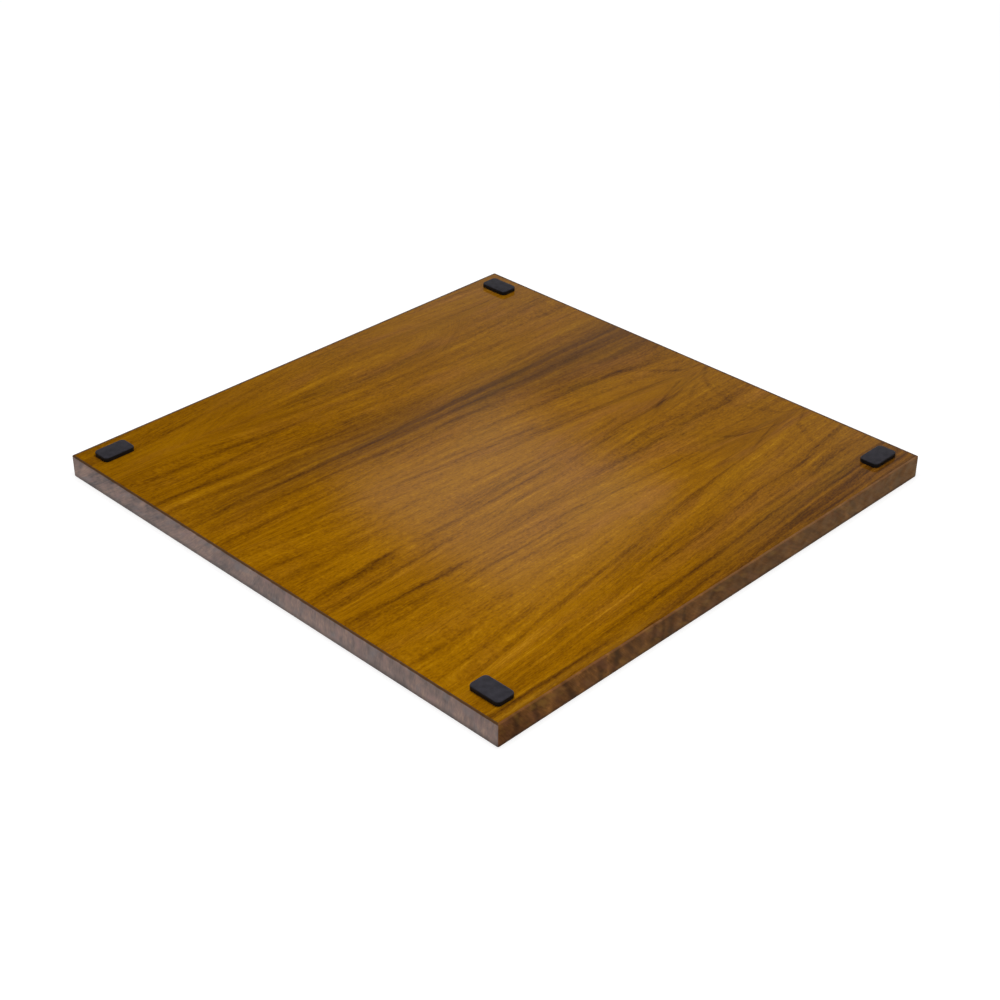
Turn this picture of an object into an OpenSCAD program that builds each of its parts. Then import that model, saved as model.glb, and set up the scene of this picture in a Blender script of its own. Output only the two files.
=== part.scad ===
// Rigid one-piece chessboard, in millimetres.
// A fibreboard core carries a veneered underside, mitred edge bands, a mitred border, a light line
// and 64 inlaid squares. Four rubber feet are stuck to the underside.
// The board stands on its feet at z = 0, centred on the origin. White sits at -Y, so the dark
// corner square a1 is at -X -Y.

/* [Board] */
// Side of the square board, over the edge bands
board_w = 500; // [470:5:600]
// Thickness of the fibreboard core
core_t = 19; // [12:0.5:25]
// Thickness of the veneer on both faces
veneer_t = 0.6; // [0.5:0.1:1.2]
// Thickness of the band glued on each edge
band_t = 2; // [1.4:0.1:4]
// Radius of the rounded arris round the playing side
arris_r = 1.5; // [1:0.5:4]
// Radius of the four upright corners
corner_r = 1.5; // [1:0.5:6]

/* [Playing field] */
// Side of one playing square
square_w = 50; // [40:1:55]
// Width of the inlaid line round the field
line_w = 2; // [1:0.5:5]

/* [Feet] */
// Length of a foot
foot_l = 30; // [22:1:45]
// Width of a foot
foot_w = 18; // [14:1:30]
// Height of a foot, without its tape
foot_h = 4; // [2:0.5:8]
// Corner radius of a foot, seen from below
foot_corner_r = 4; // [1.5:0.5:6]
// Radius of the eased edge round the sole
foot_ease_r = 1; // [0.2:0.1:1.4]
// Distance from the board's sides to a foot
foot_inset = 13; // [5:0.5:40]
// Thickness of the adhesive tape on a foot
tape_t = 0.3; // [0.1:0.1:1]
// Distance that the tape's edge lies back from the foot's edge
tape_setback = 0.5; // [0.2:0.1:2]

/* [Hidden] */

// A chessboard has eight files and eight ranks
files = 8;

// Half sides of the square rings, from the field outwards
field_half = files * square_w / 2;
line_half = field_half + line_w;
inner_half = board_w / 2 - band_t;
outer_half = board_w / 2;

// Levels, from the soles upwards
underside_z = foot_h + tape_t;
core_z = underside_z + veneer_t;
inlay_z = core_z + core_t;
top_z = inlay_z + veneer_t;

// Angles that turn a piece made for the front side, or its left corner, to its own place
front_angle = 0;
right_angle = 90;
back_angle = 180;
left_angle = 270;

$fn = 48;

// What an eased lower corner of radius r takes off a section, with the corner at the origin
module ease_notch(r) {
    difference() {
        square(r);
        translate([r, r]) circle(r);
    }
}

// Section from the middle of a plate to its edge, half wide and h high, eased at the lower corner
module half_section(half, h, r) {
    difference() {
        square([half, h]);
        translate([half, 0]) mirror([1, 0]) ease_notch(r);
    }
}

// Bar along X, with its eased edges down
module eased_bar(l, w, h, r) {
    translate([-l / 2, 0, 0]) rotate([90, 0, 90]) linear_extrude(l) {
        half_section(w / 2, h, r);
        mirror([1, 0]) half_section(w / 2, h, r);
    }
}

// Round button with its eased edge down
module eased_button(radius, h, r) {
    rotate_extrude() half_section(radius, h, r);
}

// Rounded rectangle with corners of radius corner and an eased lower edge of radius ease
module eased_plate(l, w, h, corner, ease) {
    r = min(ease, corner);
    eased_bar(l - 2 * corner, w, h, r);
    rotate([0, 0, 90]) eased_bar(w - 2 * corner, l, h, r);
    for (x = [-1, 1], y = [-1, 1])
        translate([x * (l / 2 - corner), y * (w / 2 - corner), 0]) eased_button(corner, h, r);
}

// Outer form that all the laid-up panel is shaped to, with its eased edge at the playing side
module board_form() {
    translate([0, 0, top_z]) rotate([180, 0, 0])
        eased_plate(board_w, board_w, top_z - underside_z, corner_r, arris_r);
}

// One square layer of the panel
module panel_layer(z, t) {
    intersection() {
        translate([-inner_half, -inner_half, z]) cube([2 * inner_half, 2 * inner_half, t]);
        board_form();
    }
}

// Strip mitred at both ends, one side of a square ring, turned to its place
module mitred_strip(angle, inner, outer, z, t) {
    rotate([0, 0, angle]) translate([0, 0, z]) linear_extrude(t)
        polygon([[-outer, -outer], [outer, -outer], [inner, -inner], [-inner, -inner]]);
}

module edge_band(angle) {
    color("#6b4a32") intersection() {
        mitred_strip(angle, inner_half, outer_half, underside_z, top_z - underside_z);
        board_form();
    }
}

module border_veneer(angle) {
    color("#7a5230") intersection() {
        mitred_strip(angle, line_half, inner_half, inlay_z, veneer_t);
        board_form();
    }
}

module border_line(angle) {
    color("#e3c694") mitred_strip(angle, field_half, line_half, inlay_z, veneer_t);
}

// The squares of one rank (1 to 8) that are dark (parity 1) or light (parity 0)
module rank_squares(rank, parity) {
    for (file = [1 : files])
        if ((file + rank + 1) % 2 == parity)
            translate([(file - 1) * square_w - field_half, (rank - 1) * square_w - field_half, inlay_z])
                cube([square_w, square_w, veneer_t]);
}

module light_squares(rank) {
    color("#e0bf88") rank_squares(rank, 0);
}

module dark_squares(rank) {
    color("#6e4527") rank_squares(rank, 1);
}

// Centre of a foot at the front left corner, turned with the board to the other corners
module at_foot(angle) {
    rotate([0, 0, angle])
        translate([foot_inset + foot_l / 2 - outer_half, foot_inset + foot_w / 2 - outer_half, 0])
            children();
}

module foot(angle) {
    color("#2a2b31") at_foot(angle) eased_plate(foot_l, foot_w, foot_h, foot_corner_r, foot_ease_r);
}

// Adhesive tape between a foot and the underside
module foot_tape(angle) {
    tape_l = foot_l - 2 * tape_setback;
    tape_w = foot_w - 2 * tape_setback;
    tape_corner_r = foot_corner_r - tape_setback / 2;
    color("#15151a") at_foot(angle) translate([0, 0, foot_h]) linear_extrude(tape_t) {
        square([tape_l - 2 * tape_corner_r, tape_w], center = true);
        square([tape_l, tape_w - 2 * tape_corner_r], center = true);
        for (x = [-1, 1], y = [-1, 1])
            translate([x * (tape_l / 2 - tape_corner_r), y * (tape_w / 2 - tape_corner_r)])
                circle(tape_corner_r);
    }
}

module core_panel() {
    color("#b08d62") panel_layer(core_z, core_t);
}

module underside_veneer() {
    color("#9a6a1c") panel_layer(underside_z, veneer_t);
}

core_panel();
underside_veneer();
edge_band(front_angle);  // front_edge_band
edge_band(right_angle);  // right_edge_band
edge_band(back_angle);  // back_edge_band
edge_band(left_angle);  // left_edge_band
border_veneer(front_angle);  // front_border
border_veneer(right_angle);  // right_border
border_veneer(back_angle);  // back_border
border_veneer(left_angle);  // left_border
border_line(front_angle);  // front_line
border_line(right_angle);  // right_line
border_line(back_angle);  // back_line
border_line(left_angle);  // left_line
light_squares(1);  // rank_1_light_squares
dark_squares(1);  // rank_1_dark_squares
light_squares(2);  // rank_2_light_squares
dark_squares(2);  // rank_2_dark_squares
light_squares(3);  // rank_3_light_squares
dark_squares(3);  // rank_3_dark_squares
light_squares(4);  // rank_4_light_squares
dark_squares(4);  // rank_4_dark_squares
light_squares(5);  // rank_5_light_squares
dark_squares(5);  // rank_5_dark_squares
light_squares(6);  // rank_6_light_squares
dark_squares(6);  // rank_6_dark_squares
light_squares(7);  // rank_7_light_squares
dark_squares(7);  // rank_7_dark_squares
light_squares(8);  // rank_8_light_squares
dark_squares(8);  // rank_8_dark_squares
foot(front_angle);  // front_left_foot
foot(right_angle);  // front_right_foot
foot(back_angle);  // back_right_foot
foot(left_angle);  // back_left_foot
foot_tape(front_angle);  // front_left_foot_tape
foot_tape(right_angle);  // front_right_foot_tape
foot_tape(back_angle);  // back_right_foot_tape
foot_tape(left_angle);  // back_left_foot_tape
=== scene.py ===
"""Looks of the inlaid chessboard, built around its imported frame.

The board stands on its rubber feet at z = 0, with White at -Y. The photograph shows it lying on its
playing side, so the camera looks up at the underside from below.

Lengths are in metres. The finishes work in millimetres, in the board's own coordinates.
"""

import logging
import math
import random
from dataclasses import dataclass
from enum import Enum
from typing import Iterable, Sequence, Union

import bmesh
import bpy
from mathutils import Matrix, Vector

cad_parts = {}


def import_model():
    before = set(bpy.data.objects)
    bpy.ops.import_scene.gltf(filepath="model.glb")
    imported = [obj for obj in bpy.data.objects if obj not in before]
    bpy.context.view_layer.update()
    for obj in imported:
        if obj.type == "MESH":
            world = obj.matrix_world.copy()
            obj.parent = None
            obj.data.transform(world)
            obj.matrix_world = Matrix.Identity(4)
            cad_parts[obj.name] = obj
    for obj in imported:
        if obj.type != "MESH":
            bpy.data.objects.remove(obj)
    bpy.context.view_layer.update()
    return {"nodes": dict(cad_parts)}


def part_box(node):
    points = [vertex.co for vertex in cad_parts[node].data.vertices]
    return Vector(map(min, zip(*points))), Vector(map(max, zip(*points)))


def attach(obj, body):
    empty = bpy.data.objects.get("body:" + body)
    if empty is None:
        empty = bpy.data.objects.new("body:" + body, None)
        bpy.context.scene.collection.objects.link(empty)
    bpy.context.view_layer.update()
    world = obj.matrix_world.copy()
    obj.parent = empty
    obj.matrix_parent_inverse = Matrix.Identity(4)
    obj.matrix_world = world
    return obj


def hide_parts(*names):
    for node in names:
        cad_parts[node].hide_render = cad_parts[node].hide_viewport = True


log = logging.getLogger("chessboard")

MM = 0.001
JOIN_LIMIT = 0.0005 * MM
NOISE_SPAN = (-0.5, 0.5)

Span = tuple[float, float]
Colour = tuple[float, float, float]
Tones = tuple[tuple[float, Colour], ...]
Number = Union[float, "Signal"]
Socket = bpy.types.NodeSocket
Material = bpy.types.Material


class Axis(Enum):
    """A level axis of the board that the grain of a piece can follow."""

    X = "x"
    Y = "y"


class Choice(Enum):
    """A choice that the frame's nodes name in small letters."""

    @property
    def label(self) -> str:
        """Its name in the frame's nodes."""
        return self.name.lower()


class Side(Choice):
    """A side of the board, with the angle in degrees that turns the front side's pieces to it."""

    FRONT = 0
    RIGHT = 90
    BACK = 180
    LEFT = 270

    @property
    def along(self) -> Axis:
        """Axis that the side runs along."""
        return Axis.X if self in (Side.FRONT, Side.BACK) else Axis.Y


class Corner(Choice):
    """A corner of the board, counted from the front left one."""

    FRONT_LEFT = 0
    FRONT_RIGHT = 1
    BACK_RIGHT = 2
    BACK_LEFT = 3


class Tone(Choice):
    """Which of the two kinds of square a tile is, by the parity of its file and rank."""

    DARK = 0
    LIGHT = 1


@dataclass(frozen=True)
class Signal:
    """A number that varies over a surface: a socket that sums and scales as a number does."""

    graph: "Graph"
    socket: Socket

    def __add__(self, other: Number) -> "Signal":
        """Sum of the two."""
        return self.graph.math("ADD", self, other)

    def __sub__(self, other: Number) -> "Signal":
        """Difference of the two."""
        return self.graph.math("SUBTRACT", self, other)

    def __rsub__(self, other: float) -> "Signal":
        """A plain number less this one."""
        return self.graph.math("SUBTRACT", other, self)

    def __mul__(self, other: Number) -> "Signal":
        """Product of the two."""
        return self.graph.math("MULTIPLY", self, other)

    def __truediv__(self, other: Number) -> "Signal":
        """Quotient of the two."""
        return self.graph.math("DIVIDE", self, other)

    def __abs__(self) -> "Signal":
        """Size of the number, without its sign."""
        return self.graph.math("ABSOLUTE", self)

    __radd__ = __add__
    __rmul__ = __mul__


def typed(sockets: Iterable[Socket], name: str, kind: str) -> Socket:
    """The socket of one type among those that share a name."""
    return next(item for item in sockets if item.name == name and item.type == kind)


def blend(first: Number, second: Number, share: Signal) -> Signal:
    """A number that runs from the first to the second as the share runs from 0 to 1."""
    return first + (second - first) * share


@dataclass
class Graph:
    """Writes a node tree as sums and calls, so that a finish reads as a formula."""

    tree: bpy.types.NodeTree

    def node(self, kind: str, inputs: Union[dict, None] = None, **settings: object) -> bpy.types.Node:
        """Adds a node.

        Args:
            kind: The node's type name.
            inputs: Values and links of its inputs, by their names or numbers.
            settings: Properties to set on it.

        Returns:
            The new node.
        """
        made = self.tree.nodes.new(kind)
        for name, value in settings.items():
            setattr(made, name, value)
        for key, value in (inputs or {}).items():
            self.feed(made.inputs[key], value)
        return made

    def feed(self, socket: Socket, value: object) -> None:
        """Gives an input its value or its link.

        Args:
            socket: The input.
            value: A signal or socket to link, or a plain value to set.
        """
        if isinstance(value, Signal):
            value = value.socket
        if isinstance(value, Socket):
            self.tree.links.new(value, socket)
        elif socket.type == "RGBA":
            socket.default_value = (*value, 1.0)
        else:
            socket.default_value = value

    def math(self, operation: str, *values: Number) -> Signal:
        """Joins up to three numbers, in the node's order, with a maths node."""
        made = self.node("ShaderNodeMath", dict(enumerate(values)), operation=operation)
        return Signal(self, made.outputs[0])

    def remap(self, value: Number, source: Span, target: Span = (0.0, 1.0), smooth: bool = True) -> Signal:
        """Carries a number from one range to another, held at the ends.

        Args:
            value: The number.
            source: Its two ends, which may run downwards.
            target: Where the two ends go.
            smooth: Whether the change eases in and out.

        Returns:
            The result.
        """
        kind = "SMOOTHSTEP" if smooth else "LINEAR"
        inputs = dict(enumerate((value, *source, *target)))
        made = self.node("ShaderNodeMapRange", inputs, interpolation_type=kind, clamp=not smooth)
        return Signal(self, made.outputs[0])

    def noise(self, place: Sequence[Number], detail: float = 2.0, rough: float = 0.5) -> Signal:
        """Smooth noise about 0, within -1 to 1.

        Args:
            place: Three coordinates, in cells of the noise.
            detail: How many finer layers lie on it.
            rough: The share that each finer layer keeps.

        Returns:
            The noise.
        """
        inputs = {"Vector": self.point(*place), "Scale": 1.0, "Detail": detail, "Roughness": rough}
        made = self.node("ShaderNodeTexNoise", inputs, noise_dimensions="3D")
        return Signal(self, made.outputs[0]) * 2.0 - 1.0

    def point(self, *place: Number) -> Socket:
        """Joins three coordinates to a vector."""
        return self.node("ShaderNodeCombineXYZ", dict(enumerate(place))).outputs[0]

    def split(self, vector: Socket) -> tuple[Signal, Signal, Signal]:
        """Takes a vector apart into its three numbers."""
        made = self.node("ShaderNodeSeparateXYZ", {0: vector})
        return tuple(Signal(self, socket) for socket in made.outputs)

    def place(self) -> tuple[Signal, Signal, Signal]:
        """Coordinates on the board, in millimetres."""
        made = self.node("ShaderNodeTexCoord")
        return tuple(axis / MM for axis in self.split(made.outputs["Object"]))

    def stored(self, name: str) -> Signal:
        """A number that the mesh carries under this name."""
        made = self.node("ShaderNodeAttribute", attribute_name=name)
        return Signal(self, made.outputs["Fac"])

    def ramp(self, value: Signal, stops: Sequence[tuple[float, Colour]]) -> Socket:
        """Looks a number up in a row of colours.

        Args:
            value: The number, from 0 to 1.
            stops: Places along the row, each with its colour.

        Returns:
            The colour.
        """
        made = self.node("ShaderNodeValToRGB", {0: value})
        row = made.color_ramp
        while len(row.elements) < len(stops):
            row.elements.new(1.0)
        for element, (at, colour) in zip(row.elements, stops):
            element.position = at
            element.color = (*colour, 1.0)
        return made.outputs[0]

    def mix(self, share: Number, first: object, second: object, kind: str = "MIX") -> Socket:
        """Mixes two colours.

        Args:
            share: How much of the second shows.
            first: A colour or its socket.
            second: A colour or its socket.
            kind: How the second is laid on the first: COLOR keeps the first's brightness.

        Returns:
            The mixed colour.
        """
        made = self.node("ShaderNodeMix", {"Factor": share}, data_type="RGBA", blend_type=kind)
        for name, colour in (("A", first), ("B", second)):
            self.feed(typed(made.inputs, name, "RGBA"), colour)
        return typed(made.outputs, "Result", "RGBA")

    def between(self, value: Signal, start: Number, end: Number, fade: Number) -> Signal:
        """A share that is 1 between two places and fades at both, to either side by the fade's length."""
        rise = self.remap((value - start) / fade, (-1.0, 1.0))
        return rise * self.remap((value - end) / fade, (-1.0, 1.0), (1.0, 0.0))


@dataclass(frozen=True)
class Cells:
    """Smooth noise, by the size of its cells in millimetres and the most that it adds.

    The start is where the noise is cut, so that no two of a finish's noises match.
    """

    length: float
    height: float
    depth: float = 1.0
    start: float = 0.0
    detail: float = 2.0

    def over(self, graph: Graph, along: Signal, across: Signal, seed: Number = 0.0) -> Signal:
        """What the noise adds at each place, about 0."""
        place = (along / self.length, across / self.height, seed + self.start)
        return graph.noise(place, self.detail) * self.depth

    def factor(self, graph: Graph, along: Signal, across: Signal, ends: Span, seed: Number = 0.0) -> Signal:
        """A number that wanders between two ends."""
        return graph.remap(self.over(graph, along, across, seed), NOISE_SPAN, ends)


@dataclass(frozen=True)
class Lacquer:
    """The clear coat of a finish: how blunt its mirroring is, its fine relief and its strength.

    The relief is in millimetres, and a mirror of 0.5 is plain varnish.
    """

    roughness: float
    relief: float
    mirror: float = 0.5

    def cover(self, graph: Graph, colour: Socket, height: Signal) -> None:
        """Ends a finish's tree with its surface.

        Args:
            graph: The finish's tree.
            colour: The colour under the coat.
            height: Relief of the surface, in units of the coat's own relief.
        """
        bump = graph.node("ShaderNodeBump", {"Distance": self.relief * MM, "Height": height})
        surface = {
            "Base Color": colour,
            "Roughness": self.roughness,
            "Specular IOR Level": self.mirror,
            "Normal": bump.outputs[0],
        }
        skin = graph.node("ShaderNodeBsdfPrincipled", surface)
        graph.node("ShaderNodeOutputMaterial", {"Surface": skin.outputs[0]})


def new_finish(name: str) -> tuple[Material, Graph]:
    """Starts a material with an empty tree, and gives it with the writer of the tree."""
    made = bpy.data.materials.new(name)
    made.use_nodes = True
    made.node_tree.nodes.clear()
    return made, Graph(made.node_tree)


@dataclass(frozen=True)
class Fibres:
    """Streaks of a veneer along its grain, from broad growth bands down to open pores."""

    layers: tuple[Cells, ...]
    pore: Cells = Cells(9.0, 0.3, detail=1.0)
    pore_depth: float = 0.16
    pore_share: float = 0.16
    pore_edge: float = 0.2

    def tone(self, graph: Graph, along: Signal, across: Signal, seed: Number = 0.0) -> Signal:
        """All the streaks but the pores, about 0."""
        return sum((layer.over(graph, along, across, seed) for layer in self.layers), 0.0)

    def pores(self, graph: Graph, along: Signal, across: Signal, seed: Number = 0.0) -> Signal:
        """Share of a pore at each place, from 0 to 1."""
        edge = 0.5 - self.pore_share
        return graph.remap(self.pore.over(graph, along, across, seed), (edge, edge + self.pore_edge))


def rows(kind: type, *table: tuple[float, ...]) -> tuple:
    """Makes one item of a kind from each row of its fields."""
    return tuple(kind(*row) for row in table)


@dataclass(frozen=True)
class GrainCourse:
    """How the grain runs through one level: the level is its y at x = 0, in millimetres."""

    level: float
    slope: float
    bow: float


@dataclass(frozen=True)
class GrowthLine:
    """A growth line or knot that stands out, on one level of the grain between two places along it.

    A line that crosses the grain has a lean: the level that it gains for each millimetre along it.
    """

    level: float
    start: float
    end: float
    width: float
    depth: float
    lean: float = 0.0
    longest_fade: float = 22.0
    fade_share: float = 0.32

    @property
    def fade(self) -> float:
        """Half the length over which each end fades."""
        return min(self.longest_fade, self.fade_share * (self.end - self.start))


@dataclass(frozen=True)
class Arch:
    """The rounded end of a cathedral figure, where its two arms of growth lines meet."""

    x: float
    level: float
    reach: float
    half_height: float
    share: float
    points_right: bool = True
    rimmed: bool = False


UNDERSIDE_COURSES = rows(
    GrainCourse,
    (-250, 0.000, 0.80), (-232, 0.000, 0.80), (-200, -0.020, -0.05), (-164.5, 0.059, -0.83),
    (-152, 0.060, -0.25), (-109, 0.028, -0.40), (-87.5, 0.015, -0.05), (-68, 0.055, 0.08),
    (-44, 0.060, 0.45), (-14, 0.130, 0.15), (16, 0.035, 0.00), (44.5, -0.030, -0.20), (62, -0.055, 0.00),
    (95, 0.040, 0.00), (109.5, 0.030, 0.40), (138, -0.020, 0.00), (168, -0.140, 0.15),
    (199, -0.085, -0.05), (223, -0.065, 0.00), (250, -0.060, 0.00),
)

# A row says a level, start, end, width and depth, and where they are not the usual, lean and fade.
UNDERSIDE_LINES = rows(
    GrowthLine,
    (-236, -200, -135, 3.4, -0.20), (-201, -75, 70, 5.0, 0.10), (-187, -150, -100, 12.0, -0.12),
    (-183, 85, 105, 5.0, -0.10), (-178, -55, 95, 5.0, -0.13), (-163, -245, 140, 3.4, 0.17),
    (-156, 160, 250, 2.0, -0.16), (-152.5, -245, -90, 3.0, -0.15), (-146, -80, -25, 3.0, -0.10),
    (-145, 110, 155, 2.6, -0.14), (-138, -210, -112, 2.6, -0.17, -0.16), (-139, 10, 60, 3.0, -0.10),
    (-127, -55, -25, 6.0, -0.16), (-120, -250, -180, 2.6, -0.24), (-118, -190, -60, 3.0, -0.14),
    (-112, -250, -95, 4.2, 0.24), (-113, 40, 250, 3.4, 0.12), (-109, -110, -30, 3.0, 0.12),
    (-102, -150, -35, 3.4, -0.18), (-102, 90, 200, 3.0, 0.10), (-93.5, -180, -75, 2.4, 0.18),
    (-90, -245, -120, 2.4, -0.16), (-88, -140, -10, 3.2, -0.26), (-89.5, 0, 255, 3.4, -0.22),
    (-83, 90, 200, 2.0, 0.14), (-79, 35, 255, 3.2, -0.24), (-75, -90, 70, 3.6, 0.15),
    (-67, -255, -205, 3.6, -0.14), (-69, -190, -60, 3.0, -0.18), (-67.5, -80, 75, 3.2, -0.22),
    (-57, -250, -170, 2.6, 0.17), (-54, -130, -50, 2.2, 0.12), (-50.5, -250, -120, 2.6, -0.11),
    (-43, -60, 110, 4.0, -0.13), (-45.5, 85, 182, 3.4, -0.14, 0.02), (-41, 170, 243, 3.2, -0.15, 0.12),
    (-31, -115, -95, 5.0, 0.14), (-22, 120, 200, 5.0, 0.08), (-15, 198, 264, 3.6, -0.18, 0.65),
    (32, 214, 264, 8.0, -0.13, -1.7), (34, 155, 215, 4.5, -0.18, -0.6), (-15, -170, 60, 4.4, -0.18),
    (-12.5, -250, -150, 1.8, -0.16), (-9, 50, 195, 6.0, -0.14), (-4, -250, -175, 2.2, 0.16),
    (3, -250, -190, 1.8, 0.12), (9, -250, -170, 3.0, -0.14), (15, -165, -140, 3.0, 0.14),
    (28, -250, -215, 3.0, -0.14), (27, -50, 60, 3.0, -0.10, -0.10), (46, -235, -150, 4.0, -0.24, -0.04),
    (46, -156, -140, 5.0, 0.22), (46, -125, 25, 3.4, -0.22), (51, 20, 110, 3.4, -0.16),
    (49, 190, 244, 3.4, -0.12, -0.45), (46.5, 95, 188, 5.0, -0.20), (58, -250, -118, 2.8, -0.24),
    (58, -45, 45, 3.0, -0.14), (64, -245, 230, 3.0, 0.16), (72, -235, -160, 6.0, -0.10),
    (78.5, 20, 250, 4.0, -0.13), (94.5, -245, 250, 3.4, 0.13), (97.5, -250, -130, 2.8, -0.24),
    (99, -65, -30, 2.6, -0.14), (106, -215, -170, 2.4, -0.18), (110, -230, -190, 2.4, -0.16),
    (111, -150, -10, 3.2, -0.26), (107, 10, 100, 2.4, -0.14), (108, 85, 170, 3.6, -0.24),
    (118, -152, -136, 4.5, 0.20), (127, -95, -30, 3.0, -0.14, 0.18), (122, 5, 50, 2.6, -0.12),
    (118, 152, 208, 3.8, -0.18, 0.65), (141, 165, 216, 4.4, -0.16, -0.6),
    (120, 210, 264, 5.5, -0.15, 1.3), (157, 205, 264, 7.5, -0.15, -1.3), (127, 72, 100, 6.0, 0.14),
    (137, 106, 130, 8.0, 0.17), (148, 114, 134, 6.0, -0.12), (145, -250, -180, 3.0, -0.12),
    (150, -250, -185, 2.2, 0.14), (159, -250, -130, 3.0, -0.14), (166, -230, -115, 2.2, -0.16),
    (168, -130, -5, 3.4, -0.24), (163, 35, 185, 4.6, -0.18), (172, 60, 205, 3.4, 0.13),
    (183, 80, 200, 3.0, -0.10), (196, -152, -134, 6.0, -0.22), (197, -160, -60, 3.4, -0.15),
    (199.5, -35, 75, 3.4, -0.22), (200.5, 85, 185, 2.8, -0.20), (199, 165, 248, 2.8, -0.16, -0.09),
    (206, -210, -50, 2.4, 0.17), (207, 150, 205, 2.2, 0.14), (224, -125, 180, 3.0, -0.24),
    (232, -250, -90, 4.2, 0.14), (241.5, -190, -40, 3.6, -0.22), (242, 85, 205, 3.2, -0.24),
    (215, 95, 252, 2.4, -0.14), (229, 165, 256, 2.6, -0.20), (235.5, 45, 256, 2.4, -0.20),
    (238.5, 20, 256, 2.2, 0.14), (222.5, -268, -150, 2.6, 0.20, 0.065),
    (227, -268, -120, 2.6, -0.26, 0.065), (236, -268, -30, 3.6, 0.24, 0.065), (246, 40, 256, 2.6, -0.20),
    (253, 110, 268, 2.6, -0.22), (260, 140, 268, 3.0, -0.24),
)

UNDERSIDE_BELTS = rows(
    GrowthLine,
    (-207, -300, -140, 40.0, 0.09, 0.0, 40), (-165, -110, 90, 22.0, -0.10, 0.0, 40),
    (-112, -90, 20, 34.0, -0.10, 0.0, 40), (-88, -210, 60, 34.0, -0.03, 0.0, 60),
    (-70, -110, 150, 18.0, -0.08, 0.0, 40), (-58, 110, 300, 26.0, -0.10, 0.0, 60),
    (-15, -300, -60, 28.0, 0.08, 0.0, 60), (14, -30, 250, 20.0, 0.08, 0.0, 40),
    (48, -230, -110, 16.0, -0.08, 0.0, 30), (78, -300, -100, 22.0, 0.16, 0.0, 40),
    (70, 70, 190, 22.0, -0.10, 0.0, 40), (132, -260, 90, 34.0, 0.13, 0.0, 60),
    (172, 110, 320, 26.0, 0.10, 0.0, 40), (178, -320, -60, 36.0, 0.20, 0.0, 60),
    (196, -10, 170, 18.0, -0.08, 0.0, 50), (246, -320, 320, 26.0, -0.16),
    (236, -70, 330, 26.0, -0.04, 0.0, 90),
)

UNDERSIDE_HEARTWOOD = rows(
    GrowthLine,
    (-92, -190, 600, 38.0, 0.36, 0.0, 110), (-90, -90, 600, 9.0, 0.30, 0.0, 110),
    (-79.5, -20, 600, 7.0, 0.30, 0.0, 110), (-66, -20, 600, 16.0, 0.12, 0.0, 110),
    (-62, 110, 600, 26.0, 0.20, 0.0, 70), (232, -30, 600, 24.0, 0.20, 0.0, 90),
    (226, -600, -60, 15.0, 0.30, 0.065, 70), (266, 130, 600, 20.0, 0.34, 0.0, 70),
)

UNDERSIDE_ARCHES = (
    Arch(x=150, level=17, reach=80, half_height=31, share=0.5, rimmed=True),
    Arch(x=154, level=130, reach=75, half_height=24, share=0.5, rimmed=True),
    Arch(x=70, level=-204, reach=75, half_height=38, share=0.4),
    Arch(x=-95, level=-204, reach=85, half_height=34, share=0.4, points_right=False),
)

WALNUT_TONES = (
    (0.00, (0.030, 0.013, 0.006)),
    (0.30, (0.072, 0.032, 0.014)),
    (0.60, (0.125, 0.060, 0.027)),
    (1.00, (0.215, 0.115, 0.055)),
)
BORDER_TONES = (
    (0.00, (0.045, 0.018, 0.007)),
    (0.30, (0.105, 0.045, 0.016)),
    (0.60, (0.175, 0.080, 0.029)),
    (1.00, (0.270, 0.140, 0.055)),
)
MAPLE_TONES = (
    (0.00, (0.360, 0.215, 0.100)),
    (0.35, (0.560, 0.375, 0.195)),
    (0.65, (0.650, 0.460, 0.255)),
    (1.00, (0.740, 0.560, 0.340)),
)
# The left band's tones: the same walnut as the other bands, made greyer and paler by a painted reflection.
TAUPE_SHEEN_TONES = (
    (0.00, (0.078, 0.062, 0.062)),
    (0.35, (0.158, 0.113, 0.100)),
    (0.65, (0.230, 0.152, 0.126)),
    (1.00, (0.340, 0.225, 0.165)),
)
RUSSET_TONES = (
    (0.00, (0.058, 0.022, 0.0060)),
    (0.35, (0.098, 0.036, 0.0090)),
    (0.65, (0.180, 0.070, 0.0160)),
    (1.00, (0.350, 0.140, 0.0300)),
)

FINE_FIBRES = Fibres(layers=(Cells(150.0, 9.0, 0.32), Cells(60.0, 2.4, 0.36), Cells(20.0, 0.7, 0.28)))
MAPLE_FIBRES = Fibres(
    layers=(Cells(120.0, 12.0, 0.24), Cells(50.0, 2.6, 0.24), Cells(14.0, 0.6, 0.20)),
    pore=Cells(2.5, 0.25, detail=1.0), pore_depth=0.06, pore_share=0.1)

FIRST_BORDER_CUT = 60.0
FIRST_LINE_CUT = 90.0
STRIP_CUT = 7.0


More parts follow.
